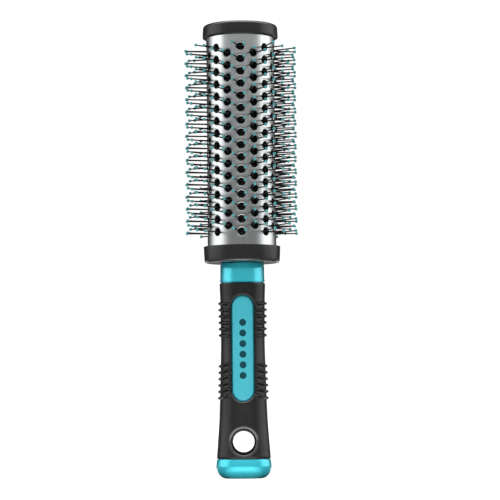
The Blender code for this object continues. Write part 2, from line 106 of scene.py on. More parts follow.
FOOT_FLAT_HALF_WIDTH = 0.0095
BELLY_HALF_WIDTH = 0.01525
BELLY_Z = 0.0065
FOOT_TOP_Z = 0.0103
GRIP_BOTTOM_Z = 0.0106
GRIP_TOP_Z = 0.1074
# (height, half width) up the foot, from its belly to the step under the grip.
FOOT_STATIONS = ((0.0076, 0.01517), (0.0088, 0.01503), (0.0097, 0.01492), (0.0101, 0.01480),
                 (0.01026, 0.01462), (FOOT_TOP_Z, 0.01440), (GRIP_BOTTOM_Z - 0.00003, 0.01436),
                 (GRIP_BOTTOM_Z - 0.00002, 0.0126))
# (height above the grip's top, radius) up the neck: the groove at its foot, its bead, then the plain neck.
NECK_STATIONS = ((0.00002, 0.0105), (0.00003, 0.01175), (0.00050, 0.01175), (0.00055, 0.01225),
                 (0.00065, 0.01243), (0.0008, 0.01244), (0.0011, 0.01234), (0.0014, 0.01222),
                 (0.0018, 0.01217))
NECK_TOP_RADII = (0.01206, 0.01195)
NECK_BEVEL = 0.0002
FOOT_STEPS = 18
BODY_STEPS = 24
BODY_TOP_DROP = 0.0004
TANG_RADIUS = 0.0050
TANG_END_RADIUS = 0.0046
TANG_BEVEL = 0.0005
PILOT_RADIUS = 0.0023
PILOT_ENDS_Z = (0.2180, 0.2600)
GRIP_HALF_WIDTHS = (
    (0.0106, 0.01490), (0.0208, 0.01410), (0.0320, 0.01330), (0.0430, 0.01285),
    (0.0640, 0.01225), (0.0760, 0.01205), (0.0980, 0.01230), (0.1076, 0.01260),
)
DEPTH_RATIOS = ((0.0, 0.82), (0.0106, 0.83), (0.0320, 0.89), (0.0640, 0.96), (0.1076, 1.0))
GRIP_WALL = 0.0018
# (inwards from the surface, above the lower end) and (inwards, below the upper end) round the grip's edges.
GRIP_LOWER_EDGE = ((0.0009, 0.0), (0.0005, 0.00005), (0.0002, 0.0002))
GRIP_UPPER_EDGE = ((0.00006, 0.00060), (0.00018, 0.00036), (0.00038, 0.00017), (0.00064, 0.00004),
                   (0.0009, 0.0))
GRIP_LOWER_ROUNDING = 0.0006
GRIP_UPPER_ROUNDING = 0.0009
HOLLOW_STEP = 0.004
HOLLOW_STEPS = 25
HOLLOW_OVERRUN = 0.002
SECTION_SIDES = 144
PLAIN_STEP = 0.0010
RIB_STEP = 0.0002

RIB_GROUPS = ((0.0440, 0.0020), (0.0785, -0.0004))    # (height of the lowest rib, its rise at the window)
RIBS_PER_GROUP = 6
RIB_PITCH = 0.0035
RIB_HEIGHT = 0.0012
RIB_HALF_BASE = 0.00105
RIB_HALF_TOP = 0.00030
RIB_START_X = 0.0068
RIB_FULL_X = 0.0076

WINDOW_BOTTOM_Z = 0.0421
WINDOW_TOP_Z = 0.1002
WINDOW_HALF_WIDTH = 0.00625
WINDOW_RECESS = 0.0008
# (outwards from the opening, below the surface) down the rounded shoulder of a window.
WINDOW_SHOULDER = ((0.00100, -0.0200), (0.00100, -0.00002), (0.00080, 0.00006), (0.00055, 0.00020),
                   (0.00030, 0.00044), (0.00012, 0.00074), (0.0, 0.00110), (0.0, 0.0050))
PAD_GAP = 0.00050
# (inwards from the pad's edge, below its face) over the rounding of its edge.
PAD_EDGE = ((0.0, 0.0045), (0.0, 0.00065), (0.00005, 0.00046), (0.00016, 0.00029), (0.00033, 0.00014),
            (0.00055, 0.00004), (0.00080, 0.0), (0.0013, 0.0), (0.0020, 0.0), (0.0030, 0.0), (0.0042, 0.0))

DIMPLES = 6
DIMPLE_FIRST_Z = 0.0563
DIMPLE_PITCH = 0.0058
DIMPLE_RADIUS = 0.0019
DIMPLE_DEPTH = 0.00045
# (outwards from the dimple's edge, above its floor) up its rounded wall.
DIMPLE_WALL = ((-0.0004, 0.0), (-0.00015, 0.00006), (-0.00003, 0.0002), (0.0, 0.00035))
DIMPLE_OVERRUN = 0.0002
DIMPLE_SPREAD = 0.0001     # what lies within this of a dimple's edge
DIMPLE_SHALLOW = 0.00008   # and deeper than this has the dimple's colour

HOLE_Z = 0.0200
LINING_RADIUS = 0.0073
BORE_REACH = 0.03
# (radius, below the surface) down the rounded mouth of the hanging hole.
HOLE_MOUTH = ((0.0086, -0.0200), (0.0086, -0.00002), (0.0082, 0.00004), (0.0078, 0.00016), (0.0074, 0.00038),
              (0.0071, 0.00066), (0.0068, 0.00108), (0.0065, 0.0017), (0.0062, 0.0027), (0.0060, 0.0038),
              (0.0059, 0.0052))

# Zones of the openings' roundings that have the smoother finish. Up to SURFACE_NOISE deep is plain surface.
SURFACE_NOISE = 0.00001
WINDOW_POLISH_HEIGHT = 0.0045
WINDOW_POLISH_WIDTH = 0.0011
WINDOW_POLISH_DEPTH = 0.0007
HOLE_POLISH_RADIUS = 0.0087
HOLE_POLISH_DEPTH = 0.0014

BLACK_PLASTIC = ((0.026, 0.026, 0.027), (0.031, 0.031, 0.031))
BLACK_RUBBER = ((0.008, 0.0077, 0.0074), (0.011, 0.0104, 0.0101))

STUDIO_TURN = math.radians(4)
STUDIO_STRENGTH = 1.9
BACKDROP_STRENGTH = 1.05
# The ramps are (place on the ramp, brightness). These two run from the front, 0, to the back, 1.
SIDE_PANELS = ((0.0, 0.0), (0.12, 0.02), (0.20, 0.12), (0.28, 0.46), (0.35, 0.92), (0.62, 0.96),
               (0.72, 0.56), (0.82, 0.11), (0.90, 0.01))
FILL_REACH = ((0.0, 1.0), (0.66, 1.0), (0.80, 0.0))
# These two run from the horizon, 0, to straight up, 1.
FRONT_FILL = ((0.0, 0.05), (0.06, 0.06), (0.09, 0.16), (0.16, 0.26), (0.30, 0.29), (0.80, 0.27))
OVERHEAD = ((0.0, 0.0), (0.84, 0.0), (0.90, 1.1))

FLOOR_RADIUS = 5.0
FLOOR_THICKNESS = 0.02
FLOOR_EMISSION = 0.75
GLOW_DEPTH = 0.0005
GLOW_STRENGTH = 1.9
# From straight sideways, 0, to straight ahead or behind, 1.
GLOW_WEDGE = ((0.0, 0.08), (0.45, 0.12), (0.90, 1.0))
# Metres from the foot, and metres behind it.
GLOW_FADE = ((0.0, 0.10), (0.0145, 0.16), (0.022, 1.0), (0.15, 1.0), (0.40, 0.55), (1.0, 0.10))
GLOW_BEHIND = ((0.0, 1.0), (0.02, 1.0), (0.12, 0.06), (0.28, 0.06), (0.42, 0.9), (0.80, 0.9), (1.0, 0.05))

CAMERA_LENS = 159.1
CAMERA_PLACE = Vector((0.0044, -1.22, 0.043))
CAMERA_AIM = Vector((0.0044, 0.0, 0.1257))
CAMERA_ROLL = math.radians(-0.53)

SHARP_ANGLE = math.radians(32)
MERGE_DISTANCE = 1e-6


# ---------------------------------------------------------------- mesh helpers

def piece_from_bmesh(name, bm):
    bmesh.ops.remove_doubles(bm, verts=bm.verts, dist=MERGE_DISTANCE)
    bmesh.ops.recalc_face_normals(bm, faces=bm.faces)
    mesh = bpy.data.meshes.new(name)
    bm.to_mesh(mesh)
    bm.free()
    item = bpy.data.objects.new(name, mesh)
    bpy.context.scene.collection.objects.link(item)
    return item


def add_skin(bm, rings, closed=False, last_face=True):
    """Quads between rings of equal length, with a face over each end unless the rings close on themselves.

    last_face=False leaves out the last face, where the rings narrow down to a line.
    """
    loops = [[bm.verts.new(point) for point in ring] for ring in rings]
    pairs = list(zip(loops, loops[1:]))
    if closed:
        pairs.append((loops[-1], loops[0]))
    for lower, upper in pairs:
        for index in range(len(lower)):
            following = (index + 1) % len(lower)
            bm.faces.new((lower[index], lower[following], upper[following], upper[index]))
    if not closed:
        bm.faces.new(reversed(loops[0]))
    if not closed and last_face:
        bm.faces.new(loops[-1])


def skin(name, rings, closed=False, last_face=True):
    bm = bmesh.new()
    add_skin(bm, rings, closed, last_face)
    return piece_from_bmesh(name, bm)


def circle(radius, z, sides=128):
    return [(radius * math.cos(math.tau * s / sides), radius * math.sin(math.tau * s / sides), z)
            for s in range(sides)]


def turned(name, profile, closed=False, sides=128):
    return skin(name, [circle(radius, z, sides) for radius, z in profile], closed)


def crosswise_cylinder(name, radius, z):
    """Cylinder along Y at height z, long enough to cut through the handle."""
    cylinder = turned(name, ((radius, -BORE_REACH), (radius, BORE_REACH)), sides=64)
    cylinder.rotation_euler.x = math.pi / 2
    cylinder.location.z = z
    return cylinder


def arc(centre_x, centre_y, radius, start, end, steps):
    """Points of an arc between two angles in degrees."""
    points = []
    for step in range(steps + 1):
        angle = math.radians(start + (end - start) * step / steps)
        points.append((centre_x + radius * math.cos(angle), centre_y + radius * math.sin(angle)))
    return points


def cut(item, cutter):
    modifier = item.modifiers.new("cut", "BOOLEAN")
    modifier.operation = "DIFFERENCE"
    modifier.object = cutter


def bake_modifiers(item, *spent):
    """Apply an object's modifiers and remove the cutters that they used."""
    bpy.context.view_layer.update()
    mesh = bpy.data.meshes.new_from_object(item.evaluated_get(bpy.context.evaluated_depsgraph_get()))
    item.modifiers.clear()
    item.data = mesh
    mesh.name = item.name
    for cutter in spent:
        bpy.data.objects.remove(cutter, do_unlink=True)
    return item


def finish_piece(item, paint, slot, *nodes):
    item.data.materials.clear()
    item.data.materials.append(paint)
    item.data.shade_smooth()
    item.data.set_sharp_from_angle(angle=SHARP_ANGLE)
    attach(item, "root")
    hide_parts(*nodes)
    return item


def repaint(item, paint, picked):
    """Give a second material to the faces whose centres the picked function accepts."""
    item.data.materials.append(paint)
    for polygon in item.data.polygons:
        if picked(*polygon.center):
            polygon.material_index = 1
    return item


def smooth_step(t):
    t = min(max(t, 0.0), 1.0)
    return t * t * (3 - 2 * t)


def smooth_value(stations, z):
    """Value at height z on a smooth curve through (height, value) stations."""
    last = len(stations) - 1
    index = 0
    while index < last - 1 and z > stations[index + 1][0]:
        index += 1

    def slope(at):
        before, after = stations[max(at - 1, 0)], stations[min(at + 1, last)]
        return (after[1] - before[1]) / (after[0] - before[0])

    (z0, value0), (z1, value1) = stations[index], stations[index + 1]
    span = z1 - z0
    t = min(max((z - z0) / span, 0.0), 1.0)
    return (value0 + (value1 - value0) * smooth_step(t) + slope(index) * span * t * (1 - t) ** 2
            - slope(index + 1) * span * t * t * (1 - t))


# ---------------------------------------------------------------- materials

def new_material(name, colour, roughness, metallic=0.0):
    paint = bpy.data.materials.new(name)
    paint.use_nodes = True
    shader = paint.node_tree.nodes["Principled BSDF"]
    shader.inputs["Base Color"].default_value = (*colour, 1.0)
    shader.inputs["Roughness"].default_value = roughness
    shader.inputs["Metallic"].default_value = metallic
    return paint, shader


def noise(paint, scale, stretch=(1, 1, 1), detail=3.0):
    """Noise in object space; scale is in cycles per metre."""
    tree = paint.node_tree
    coords = tree.nodes.new("ShaderNodeTexCoord")
    mapping = tree.nodes.new("ShaderNodeMapping")
    mapping.inputs["Scale"].default_value = [scale * amount for amount in stretch]
    texture = tree.nodes.new("ShaderNodeTexNoise")
    texture.inputs["Scale"].default_value = 1.0
    texture.inputs["Detail"].default_value = detail
    tree.links.new(coords.outputs["Object"], mapping.inputs["Vector"])
    tree.links.new(mapping.outputs["Vector"], texture.inputs["Vector"])
    return texture.outputs["Fac"]


def vary(paint, factor, low, high, socket):
    """Drive a shader socket between two values."""
    ranger = paint.node_tree.nodes.new("ShaderNodeMapRange")
    ranger.inputs["From Min"].default_value = 0.3
    ranger.inputs["From Max"].default_value = 0.7
    ranger.inputs["To Min"].default_value = low
    ranger.inputs["To Max"].default_value = high
    paint.node_tree.links.new(factor, ranger.inputs["Value"])
    paint.node_tree.links.new(ranger.outputs["Result"], socket)


def tint(paint, factor, dark, light, shader):
    """Drive the base colour between two colours."""
    ramp = paint.node_tree.nodes.new("ShaderNodeValToRGB")
    ramp.color_ramp.elements[0].position = 0.3
    ramp.color_ramp.elements[0].color = (*dark, 1.0)
    ramp.color_ramp.elements[1].position = 0.7
    ramp.color_ramp.elements[1].color = (*light, 1.0)
    paint.node_tree.links.new(factor, ramp.inputs["Fac"])
    paint.node_tree.links.new(ramp.outputs["Color"], shader.inputs["Base Color"])


def bump(paint, factor, distance, shader):
    node = paint.node_tree.nodes.new("ShaderNodeBump")
    node.inputs["Strength"].default_value = 1.0
    node.inputs["Distance"].default_value = distance
    paint.node_tree.links.new(factor, node.inputs["Height"])
    paint.node_tree.links.new(node.outputs["Normal"], shader.inputs["Normal"])


def moulded(name, colours, roughness, grain, depth, grain_scale=4000, gloss=0.5, metallic=0.0,
            coat=(0.0, 0.03)):
    """Moulded plastic or rubber: faint mottling between two colours, uneven gloss and a fine surface grain.

    grain is how far the roughness varies, depth is the height of the surface grain, and coat is the weight
    and roughness of a clear coat.
    """
    dark, light = colours
    paint, shader = new_material(name, dark, roughness, metallic)
    shader.inputs["Specular IOR Level"].default_value = gloss
    shader.inputs["Coat Weight"].default_value, shader.inputs["Coat Roughness"].default_value = coat
    tint(paint, noise(paint, 90), dark, light, shader)
    vary(paint, noise(paint, 350), roughness - grain, roughness + grain, shader.inputs["Roughness"])
    bump(paint, noise(paint, grain_scale), depth, shader)
    return paint


def make_pearl_teal():
    return moulded("pearl_teal", ((0.036, 0.64, 0.77), (0.041, 0.67, 0.80)), 0.20, 0.02, 0.0000004,
                   grain_scale=900, metallic=0.4, coat=(0.5, 0.06))


def make_window_teal():
    return moulded("window_teal", ((0.056, 0.51, 0.62), (0.065, 0.545, 0.655)), 0.35, 0.03, 0.0000004,
                   grain_scale=900)


def make_dimple_teal():
    return moulded("dimple_teal", ((0.002, 0.062, 0.085), (0.003, 0.074, 0.099)), 0.5, 0.04, 0.0000004,
                   grain_scale=900, gloss=0.2)


def make_tip_teal():
    return moulded("teal_tips", ((0.08, 0.40, 0.42), (0.11, 0.46, 0.47)), 0.35, 0.05, 0.000002)


def make_nylon():
    return moulded("black_nylon", ((0.003, 0.003, 0.0035), (0.005, 0.005, 0.0055)), 0.4, 0.05, 0.000003,
                   gloss=0.25)


def make_satin_black():
    return moulded("satin_black", BLACK_PLASTIC, 0.22, 0.03, 0.0000004, grain_scale=2500, gloss=0.30)


def make_rubber():
    return moulded("grip_rubber", BLACK_RUBBER, 0.31, 0.04, 0.000003, grain_scale=2500, gloss=0.42)


def make_polished(name, colours, roughness):
    """Smoother finish for a rounded edge, which catches the light."""
    return moulded(name, colours, roughness, 0.03, 0.0000004, grain_scale=2500, gloss=1.0, coat=(0.8, 0.15))


def make_carrier_plastic():
    return moulded("carrier_plastic", ((0.010, 0.010, 0.011), (0.014, 0.014, 0.015)), 0.6, 0.05, 0.00001)


def make_aluminium():
    paint, shader = new_material("brushed_aluminium", (0.7, 0.7, 0.7), 0.3, 1.0)
    brushed = noise(paint, 2600, (1, 1, 0.02))
    tint(paint, brushed, (0.585, 0.605, 0.61), (0.68, 0.70, 0.705), shader)
    vary(paint, noise(paint, 60), 0.21, 0.27, shader.inputs["Roughness"])
    shader.inputs["Anisotropic"].default_value = 0.6
    bump(paint, brushed, 0.000004, shader)
    return paint


def make_steel():
    paint, shader = new_material("zinc_plated_steel", (0.55, 0.55, 0.56), 0.35, 1.0)
    tint(paint, noise(paint, 500), (0.42, 0.42, 0.44), (0.58, 0.58, 0.57), shader)
    vary(paint, noise(paint, 900), 0.28, 0.45, shader.inputs["Roughness"])
    return paint


# ---------------------------------------------------------------- barrel

def column_angle(column):
    """Column 0 faces the front, -Y."""
    return COLUMN_TURN * column - math.pi / 2


def vent_heights(column):
    odd = column % 2
    return [VENT_FIRST_Z + VENT_PITCH * (row + odd / 2) for row in range(VENT_ROWS - odd)]


class Barrel:
    """The sheet-metal tube, as cells round the vents and plain bands above and below them."""

    def __init__(self):
        low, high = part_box("barrel")
        self.bottom, self.top = low.z, high.z
        self.half_width = BARREL_RADIUS * COLUMN_TURN / 2
        self.first_z = VENT_FIRST_Z - VENT_PITCH / 2
        self.last_z = self.first_z + VENT_PITCH * VENT_ROWS
        self.bm = bmesh.new()

    def vertex(self, angle, across, z, depth):
        turn = angle + across / BARREL_RADIUS
        radius = BARREL_RADIUS - depth
        return self.bm.verts.new((radius * math.cos(turn), radius * math.sin(turn), z))

    def grid(self, angle, heights, depth):
        """Plain patch one column wide."""
        step = 2 * self.half_width / CELL_STEPS
        rows = [[self.vertex(angle, step * i - self.half_width, z, depth) for i in range(CELL_STEPS + 1)]
                for z in heights]
        for lower, upper in zip(rows, rows[1:]):
            for i in range(CELL_STEPS):
                self.bm.faces.new((lower[i], lower[i + 1], upper[i + 1], upper[i]))

    def cell(self, angle, centre_z):
        """Patch with a vent in it, its pressed-in lip and the plain sheet's inner side."""
        shares = [1 - 2 * step / CELL_STEPS for step in range(CELL_STEPS)]
        edge = [(share, 1.0) for share in shares]
        edge += [(-1.0, share) for share in shares]
        edge += [(-share, -1.0) for share in shares]
        edge += [(1.0, -share) for share in shares]
        border = [(x * self.half_width, z * VENT_PITCH / 2) for x, z in edge]

        def ring(radius, depth):
            points = []
            for x, z in border:
                turn = math.atan2(z, x)
                height = centre_z + radius * math.sin(turn)
                points.append(self.vertex(angle, radius * math.cos(turn), height, depth))
            return points

        def outline(depth):
            return [self.vertex(angle, x, centre_z + z, depth) for x, z in border]

        rings = [outline(BARREL_WALL), ring(VENT_RADIUS, BARREL_WALL)]
        rings += [ring(radius, depth) for radius, depth in VENT_LIP]
        rings.append(outline(0.0))
        for inner, outer in zip(rings, rings[1:]):
            for i in range(len(border)):
                j = (i + 1) % len(border)
                self.bm.faces.new((inner[i], inner[j], outer[j], outer[i]))

    def build(self):
        step = VENT_PITCH / CELL_STEPS
        for column in range(COLUMNS):
            angle = column_angle(column)
            for z in vent_heights(column):
                self.cell(angle, z)
            for depth in (0.0, BARREL_WALL):
                self.grid(angle, (self.bottom, self.first_z), depth)
                self.grid(angle, (self.last_z, self.top), depth)
                if column % 2:
                    for start in (self.first_z, self.last_z - VENT_PITCH / 2):
                        self.grid(angle, [start + step * i for i in range(CELL_STEPS // 2 + 1)], depth)
        bmesh.ops.remove_doubles(self.bm, verts=self.bm.verts, dist=MERGE_DISTANCE)
        rims = [edge for edge in self.bm.edges if edge.is_boundary]
        lower_rims = [edge for edge in rims if edge.verts[0].co.z < self.first_z]
        upper_rims = [edge for edge in rims if edge.verts[0].co.z > self.last_z]
        bmesh.ops.bridge_loops(self.bm, edges=lower_rims)
        bmesh.ops.bridge_loops(self.bm, edges=upper_rims)
        return piece_from_bmesh("barrel_tube", self.bm)


# ---------------------------------------------------------------- bristles

def make_strip(column, nylon, tip_paint, scatter):
    """The bar behind one column of vents with its pins, and the balls on the pins' ends."""
    name = "bristle_strip_%02d" % (column + 1)
    low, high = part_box(name)
    turn = Matrix.Rotation(column_angle(column), 4, "Z")
    bm = bmesh.new()
    size = Vector((BAR_THICKNESS, BAR_WIDTH, high.z - low.z))
    centre = Vector((BAR_CENTRE_RADIUS, 0.0, (low.z + high.z) / 2))
    bar = bmesh.ops.create_cube(bm, size=1.0, matrix=Matrix.LocRotScale(centre, None, size))
    edges = {edge for vertex in bar["verts"] for edge in vertex.link_edges}
    bmesh.ops.bevel(bm, geom=list(edges), offset=BAR_BEVEL, segments=2, affect="EDGES", profile=0.5)
    balls = bmesh.new()
    for z in vent_heights(column):
        for side, rise in ((-1, LEFT_PIN_RISE), (1, RIGHT_PIN_RISE)):
            root = Vector((BAR_CENTRE_RADIUS, side * PIN_ROOT_OFFSET, z))
            tip_turn = side * PIN_TIP_TURN + PIN_LEAN
            tip = Vector((PIN_TIP_RADIUS * math.cos(tip_turn), PIN_TIP_RADIUS * math.sin(tip_turn), z + rise))
            tip += Vector([scatter.uniform(-PIN_SCATTER, PIN_SCATTER) for _ in range(3)])
            add_pin(bm, root, tip)
            bmesh.ops.create_uvsphere(balls, u_segments=14, v_segments=9, radius=TIP_RADIUS,
                                      matrix=Matrix.Translation(tip))
    bmesh.ops.transform(bm, matrix=turn, verts=bm.verts)
    bmesh.ops.transform(balls, matrix=turn, verts=balls.verts)
    finish_piece(piece_from_bmesh("strip_pins_%02d" % (column + 1), bm), nylon, "black_nylon", name)
    finish_piece(piece_from_bmesh("strip_tips_%02d" % (column + 1), balls), tip_paint, "teal_plastic", name)


def add_pin(bm, root, tip):
    """Round pin that thins towards its tip."""
    along = tip - root
    facing = along.to_track_quat("Z", "Y").to_matrix()
    rings = []
    for share, radius in PIN_PROFILE:
        centre = root + along * share
        rings.append([centre + facing @ Vector(point) for point in circle(radius, 0.0, PIN_SIDES)])
    add_skin(bm, rings)


# ---------------------------------------------------------------- cap and collar

def make_end_cap(paint, edge_paint):
    bottom, top = CAP_SKIRT_Z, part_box("end_cap")[1].z
    recess = top - CAP_RECESS_DEPTH
    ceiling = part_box("barrel")[1].z + GAP
    plug_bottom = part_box("barrel_core")[1].z + GAP
    plug_outer, plug_inner = CAP_PLUG_RADII
    profile = [(0.0, recess), (CAP_RECESS_RADIUS, recess), (CAP_RECESS_RADIUS + 0.0004, top - 0.0002),
               (CAP_TOP_RADIUS, top)]
    profile += arc(CAP_CORNER_RADIUS, top - CAP_CORNER_ROUNDING, CAP_CORNER_ROUNDING, 90, 0, 12)
    profile += [(CAP_SIDE_RADIUS, CAP_SIDE_Z)]
    profile += arc(CAP_SKIRT_RADIUS, bottom + CAP_SKIRT_ROUNDING, CAP_SKIRT_ROUNDING, 0, -90, 8)
    profile += [(SOCKET_RADIUS + 0.0003, bottom), (SOCKET_RADIUS, bottom + 0.0002), (SOCKET_RADIUS, ceiling),
                (plug_outer, ceiling), (plug_outer, plug_bottom), (plug_inner, plug_bottom),
                (plug_inner, ceiling), (0.0, ceiling)]
    cap = finish_piece(turned("cap_moulding", profile), paint, "satin_black_plastic", "end_cap")

    def on_top_edge(x, y, z):
        return z > top - CAP_POLISH_DEPTH and math.hypot(x, y) > CAP_CORNER_RADIUS

    return repaint(cap, edge_paint, on_top_edge)


def make_collar(paint, edge_paint):
    low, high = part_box("collar")
    bottom, top = low.z, high.z
    rim = bottom + 0.0001
    floor_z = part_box("barrel")[0].z - GAP
    flat, shoulder, widest, side = COLLAR_RIM_RADII
    profile = [(SOCKET_RADIUS, top - 0.0001), (SOCKET_RADIUS + 0.0001, top), (flat, top),
               (shoulder, top - 0.00008), (widest, top - 0.0003), (side, top - 0.0012),
               (COLLAR_WAIST_RADIUS, COLLAR_WAIST_Z)]
    profile += arc(SOCKET_RADIUS, rim + COLLAR_ROUNDING, COLLAR_ROUNDING, 0, -88, 12)
    profile += [(COLLAR_SEAT_RADIUS, bottom), (COLLAR_BORE_RADIUS, bottom), (COLLAR_BORE_RADIUS, floor_z),
                (SOCKET_RADIUS, floor_z)]
    collar = finish_piece(turned("collar_ring", profile, closed=True), paint, "satin_black_plastic", "collar")

    def on_lower_edge(x, y, z):
        return z < rim + COLLAR_POLISH_HEIGHT and math.hypot(x, y) > SOCKET_RADIUS + 0.0001

    return repaint(collar, edge_paint, on_lower_edge)


# ---------------------------------------------------------------- handle

def grip_section(z, inset=0.0):
    """(half width, half depth) of the handle at height z, inside the grip's surface by inset."""
    half_width = smooth_value(GRIP_HALF_WIDTHS, z)
    return half_width - inset, half_width * smooth_value(DEPTH_RATIOS, z) - inset


def section_ring(z, half_width, half_depth):
    return [(half_width * x, half_depth * y, z) for x, y, _ in circle(1.0, z, SECTION_SIDES)]


def surface_depth(x, z, inset=0.0):
    """How far in front of the axis the handle's plain surface is, at a point seen from the front."""
    half_width, half_depth = grip_section(z, inset)
    return half_depth * math.sqrt(max(1 - (x / half_width) ** 2, 0.0))


def stadium(offset, steps=24):
    """Outline of the window grown by offset, as (x, z) points at fixed places round it."""
    half_width = WINDOW_HALF_WIDTH + offset
    top, bottom = WINDOW_TOP_Z - WINDOW_HALF_WIDTH, WINDOW_BOTTOM_Z + WINDOW_HALF_WIDTH
    points = arc(0.0, top, half_width, 0, 180, steps)
    for step in range(1, 2 * steps):
        points.append((-half_width, top + (bottom - top) * step / (2 * steps)))
    points += arc(0.0, bottom, half_width, 180, 360, steps)
    for step in range(1, 2 * steps):
        points.append((half_width, bottom + (top - bottom) * step / (2 * steps)))
    return points


def foot_rings():
    """Rounded base up to the belly, then the stations up to the step under the grip."""
    stations = []
    spread = BELLY_HALF_WIDTH - FOOT_FLAT_HALF_WIDTH
    for step in range(FOOT_STEPS + 1):
        turn = math.pi / 2 * step / FOOT_STEPS
        stations.append((BELLY_Z * (1 - math.cos(turn)), FOOT_FLAT_HALF_WIDTH + spread * math.sin(turn)))
    stations += FOOT_STATIONS
    rings = []
    for z, half_width in stations:
        rings.append(section_ring(z, half_width, half_width * smooth_value(DEPTH_RATIOS, z)))
    return rings


def make_core(paint):
    """Foot, the body under the grip, neck and tang, in one moulding."""
    rings = foot_rings()
    for step in range(BODY_STEPS + 1):
        z = GRIP_BOTTOM_Z + (GRIP_TOP_Z - BODY_TOP_DROP - GRIP_BOTTOM_Z) * step / BODY_STEPS
        rings.append(section_ring(z, *grip_section(z, GRIP_WALL + GAP)))
    neck_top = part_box("collar")[0].z - GAP
    tang_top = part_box("handle_core")[1].z
    neck_radius, neck_edge_radius = NECK_TOP_RADII
    stations = [(GRIP_TOP_Z + rise, radius) for rise, radius in NECK_STATIONS]
    stations += [(neck_top - NECK_BEVEL, neck_radius), (neck_top, neck_edge_radius), (neck_top, TANG_RADIUS),
                 (tang_top - TANG_BEVEL, TANG_RADIUS), (tang_top, TANG_END_RADIUS)]
    rings += [section_ring(z, radius, radius) for z, radius in stations]
    core = skin("handle_moulding", rings)
    bore = crosswise_cylinder("core_bore", LINING_RADIUS + GAP, HOLE_Z)
    pilot = turned("pilot", [(PILOT_RADIUS, z) for z in PILOT_ENDS_Z], sides=32)
    cut(core, bore)
    cut(core, pilot)
    bake_modifiers(core, bore, pilot)
    return finish_piece(core, paint, "teal_plastic", "handle_core")


def dimple_cutter(z):
    """Cutter for one dimple of the front window, at height z."""
    face = surface_depth(0.0, z, WINDOW_RECESS)
    floor_depth = face - DIMPLE_DEPTH
    profile = [(0.0, floor_depth)]
    profile += [(DIMPLE_RADIUS + outwards, floor_depth + rise) for outwards, rise in DIMPLE_WALL]
    profile += [(DIMPLE_RADIUS + DIMPLE_OVERRUN, face + DIMPLE_OVERRUN), (0.0, face + DIMPLE_OVERRUN)]
    cutter = turned("dimple_cutter", profile, sides=48)
    cutter.rotation_euler.x = math.pi / 2
    cutter.location.z = z
    return cutter


def make_pad(side, paint, dimple_paint):
    """Raised pad of the handle moulding that fills a window; side is -1 at the front, where it is dimpled."""
    rings = []
    for inward, drop in PAD_EDGE:
        ring = []
        for x, z in stadium(-inward - PAD_GAP):
            ring.append((x, side * (surface_depth(x, z, WINDOW_RECESS) - drop), z))
        rings.append(ring)
    spine = []
    for x, z in stadium(-PAD_GAP):
        z = min(max(z, WINDOW_BOTTOM_Z + WINDOW_HALF_WIDTH), WINDOW_TOP_Z - WINDOW_HALF_WIDTH)
        spine.append((0.0, side * surface_depth(0.0, z, WINDOW_RECESS), z))
    rings.append(spine)
    if side > 0:
        pad = skin("window_pad_back", rings, last_face=False)
        return finish_piece(pad, paint, "teal_plastic", "handle_core")

    pad = skin("window_pad_front", rings, last_face=False)
    centres = [DIMPLE_FIRST_Z + DIMPLE_PITCH * index for index in range(DIMPLES)]
    cutters = [dimple_cutter(z) for z in centres]
    for cutter in cutters:
        cut(pad, cutter)
    bake_modifiers(pad, *cutters)
    finish_piece(pad, paint, "teal_plastic", "handle_core")

    def in_dimple(x, y, z):
        across = min(math.hypot(x, z - centre) for centre in centres)
        depth = surface_depth(x, z, WINDOW_RECESS) + y
        return across < DIMPLE_RADIUS + DIMPLE_SPREAD and depth > DIMPLE_SHALLOW

    return repaint(pad, dimple_paint, in_dimple)


# ---------------------------------------------------------------- grip

def rib_lift(x, z, half_width):
    """Height of the ribs over the plain surface."""
    across = abs(x)
    fade = smooth_step((across - RIB_START_X) / (RIB_FULL_X - RIB_START_X))
    if fade == 0.0:
        return 0.0
    inward = (half_width - across) / (half_width - RIB_START_X)
    for first_z, rise in RIB_GROUPS:
        row = (z - first_z - rise * inward) / RIB_PITCH
        nearest = min(max(round(row), 0), RIBS_PER_GROUP - 1)
        away = abs(row - nearest) * RIB_PITCH
        if away < RIB_HALF_BASE:
            share = min((RIB_HALF_BASE - away) / (RIB_HALF_BASE - RIB_HALF_TOP), 1.0)
            return fade * RIB_HEIGHT * (0.6 * share + 0.4 * smooth_step(share))
    return 0.0


def grip_heights():
    """Heights of the grip's sections between its rounded ends, close together over the ribs."""
    low, high = GRIP_BOTTOM_Z + GRIP_LOWER_ROUNDING, GRIP_TOP_Z - GRIP_UPPER_ROUNDING
    heights = [low, high]
    reach = RIBS_PER_GROUP * RIB_PITCH
    bands = []
    for first_z, rise in RIB_GROUPS:
        bands.append((first_z - RIB_HALF_BASE - max(-rise, 0.0),
                      first_z + reach - RIB_PITCH + RIB_HALF_BASE + max(rise, 0.0)))
    z = low + PLAIN_STEP
    while z < high - RIB_STEP:
        heights.append(z)
        ribbed = any(start - PLAIN_STEP < z < end for start, end in bands)
        z += RIB_STEP if ribbed else PLAIN_STEP
    return sorted(heights)


def grip_ring(z):
    """Section of the grip at height z, with its ribs."""
    half_width, half_depth = grip_section(z)
    ring = []
    for x, y, _ in circle(1.0, z, SECTION_SIDES):
        lift = rib_lift(half_width * x, z, half_width)
        ring.append(((half_width + lift) * x, (half_depth + lift) * y, z))
    return ring


def mouth_ring(side, radius, drop):
    """Ring round the hanging hole, below the grip's surface by drop."""
    points = [(x, HOLE_Z + z) for x, z, _ in circle(radius, 0.0, 96)]
    return [(x, side * (surface_depth(x, z) - drop), z) for x, z in points]


